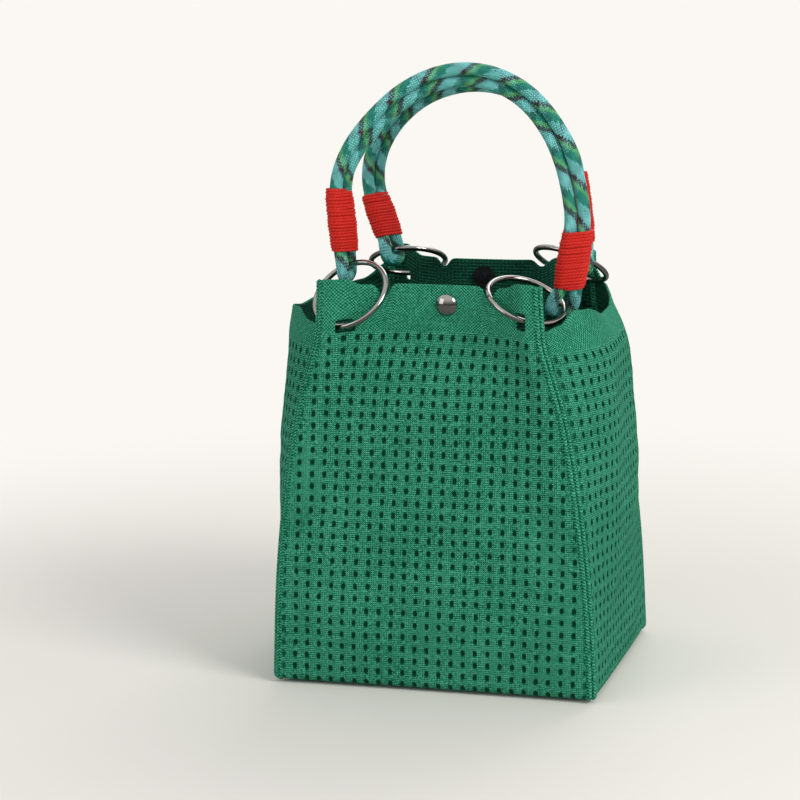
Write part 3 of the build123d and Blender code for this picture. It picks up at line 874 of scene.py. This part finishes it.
def strandOffsets(held, leanLeft, leanRight):
    # from the middle line to the outer strand, turned evenly from one whipping to the other
    offsets = []
    last = len(held) - 1
    for index, point in enumerate(held):
        before = point if index in (0, last - 1) else held[index - 1]
        after = point if index in (1, last) else held[index + 1]
        lean = math.radians(leanLeft + (leanRight - leanLeft) * max(0, min(1, (index - 1) / (last - 2))))
        along = (after - before).normalized()
        outward = along.cross(Vector((0, 1, 0))).normalized()
        frontward = along.cross(outward).normalized()
        if frontward.y > 0:
            frontward = -frontward
        offsets.append((outward * math.cos(lean) + frontward * math.sin(lean)) * rope["pitch"] / 2)
    return offsets


def ropeLoop(wire, whippingEnd, across):
    # four points that take the rope round a ring's wire
    up = (whippingEnd - wire).normalized()
    across = (across - up * across.dot(up)).normalized() * rope["loopRadius"]
    low, high = up * rope["loopRadius"], up * rope["loopStart"]
    return [wire + across + high, wire + across - low, wire - across - low, wire - across + high]


def splinePoints(name, route, step):
    # even steps along the smooth curve that has the route as its control points
    curve = bpy.data.curves.new(name, "CURVE")
    curve.dimensions = "3D"
    curve.resolution_u = 24
    spline = curve.splines.new("NURBS")
    spline.points.add(len(route) - 1)
    for point, place in zip(spline.points, route):
        point.co = (*place, 1)
    spline.order_u = 3
    spline.use_endpoint_u = True
    holder = bpy.data.objects.new(name, curve)
    scene.collection.objects.link(holder)
    bpy.context.view_layer.update()
    read = bpy.data.meshes.new_from_object(holder)
    line = [v.co.copy() for v in read.vertices]
    bpy.data.objects.remove(holder)
    bpy.data.meshes.remove(read)
    lengths = [0]
    for a, b in zip(line, line[1:]):
        lengths.append(lengths[-1] + (b - a).length)
    count = round(lengths[-1] / step)
    points, place = [], 0
    for index in range(count + 1):
        wanted = lengths[-1] * index / count
        while place < len(line) - 2 and lengths[place + 1] < wanted:
            place += 1
        share = (wanted - lengths[place]) / max(lengths[place + 1] - lengths[place], 1e-9)
        points.append(line[place].lerp(line[place + 1], min(share, 1)))
    print(name, "length", round(lengths[-1]), "mm")
    return points


def braidTube(points):
    frames = ringFrames(points, (0.3, 1, 0.2))
    carriers, sides = rope["carriers"], rope["sides"]
    alongStep = rope["step"] * carriers / rope["turnLength"]

    def radiusAt(index, angle):
        around, along = carriers * angle / (2 * math.pi), index * alongStep
        swell = abs(math.sin(math.pi * (around + along)) * math.sin(math.pi * (around - along)))
        return rope["diameter"] / 2 - rope["relief"] + rope["relief"] * 1.5 * swell

    return sweepTube(points, frames, radiusAt, sides,
                     lambda index, turn: (turn / sides * carriers, index * alongStep))


# whippings: red cord wound close round both strands
whipping = {
    "cord": 1.05, "pitch": 1.84, "step": 0.9, "sides": 8, "lean": 0.2,
    "bulge": 1.1, "tight": 0.6,     # swells in the middle, and presses into the strands at the ends
    "slack": 0.09, "waver": 0.4,    # how uneven the turns are, in reach and in height
}


def woundCord(low, up, across, length, seed):
    # one long helix round the pair of strands, a little uneven from turn to turn
    front = up.cross(across)
    straight = rope["pitch"]
    bend = rope["diameter"] / 2 + whipping["cord"] * 0.5
    around = 2 * straight + 2 * math.pi * bend
    turns = length / whipping["pitch"]
    count = int(turns * around / whipping["step"])
    points = []
    for index in range(count + 1):
        turn = turns * index / count
        share = turn / turns
        slack = 1 + whipping["slack"] * noise.noise(Vector((turn * 1.3, seed, 0)))
        swell = whipping["bulge"] * math.sin(math.pi * share) ** 0.5 - whipping["tight"]
        place = (turn % 1) * around
        reach = (bend + swell) * slack
        if place < straight:
            x, y = place - straight / 2, -reach
        elif place < straight + math.pi * bend:
            angle = (place - straight) / bend - math.pi / 2
            x, y = straight / 2 + reach * math.cos(angle), reach * math.sin(angle)
        elif place < 2 * straight + math.pi * bend:
            x, y = straight / 2 - (place - straight - math.pi * bend), reach
        else:
            angle = (place - 2 * straight - math.pi * bend) / bend + math.pi / 2
            x, y = -straight / 2 + reach * math.cos(angle), reach * math.sin(angle)
        rise = share * length + whipping["lean"] * x
        rise += whipping["waver"] * noise.noise(Vector((turn * 1.7, seed, 5)))
        points.append(low + across * x + front * y + up * rise)
    frames = ringFrames(points, up)

    def radiusAt(index, angle):
        end = min(index, count - index)
        return whipping["cord"] * min(1, 0.35 + end * 0.2)

    return sweepTube(points, frames, radiusAt, whipping["sides"],
                     lambda index, turn: (turn / whipping["sides"], index * whipping["step"]))


for handle, values in handles.items():
    middle = [Vector(point) for point in values["line"]]
    held = middle[1:-1]         # between the two whippings' low ends
    offsets = strandOffsets(held, *values["lean"])
    outer = [point + offset for point, offset in zip(held, offsets)]
    inner = [point - offset for point, offset in zip(held, offsets)]
    leftAcross, rightAcross = [Vector(direction) for direction in values["across"]]
    rightLoop = ropeLoop(middle[-1], middle[-2], rightAcross)
    leftLoop = ropeLoop(middle[0], middle[1], -leftAcross)
    halfGap = (outer[1] - outer[0]).normalized() * rope["endGap"] / 2
    halfWay = (outer[0] + outer[1]) / 2
    route = [halfWay + halfGap] + outer[1:] + rightLoop + inner[::-1] + leftLoop
    route += [outer[0], halfWay - halfGap]
    braid = braidTube(splinePoints(handle + "_rope", route, rope["step"]))
    pieceName = handle + "_braid"
    finishPiece(tubePiece(pieceName, [braid]), pieceName, ropeBraid, handle, "rope", handle + "_rope")
    for side, low, high, offset, seed in (("left", held[0], held[1], offsets[0], 2.5),
                                          ("right", held[-1], held[-2], offsets[-1], 8.5)):
        up = (high - low).normalized()
        length = (high - low).length - rope["whippingLow"] - rope["whippingHigh"]
        across = (offset - up * offset.dot(up)).normalized()
        wound = woundCord(low + up * rope["whippingLow"], up, across, length, seed)
        pieceName = f"{handle}_{side}_wound_cord"
        finishPiece(tubePiece(pieceName, [wound]), pieceName, redCord, handle, "whipping",
                    f"{handle}_{side}_whipping")

bpy.ops.object.select_all(action="DESELECT")
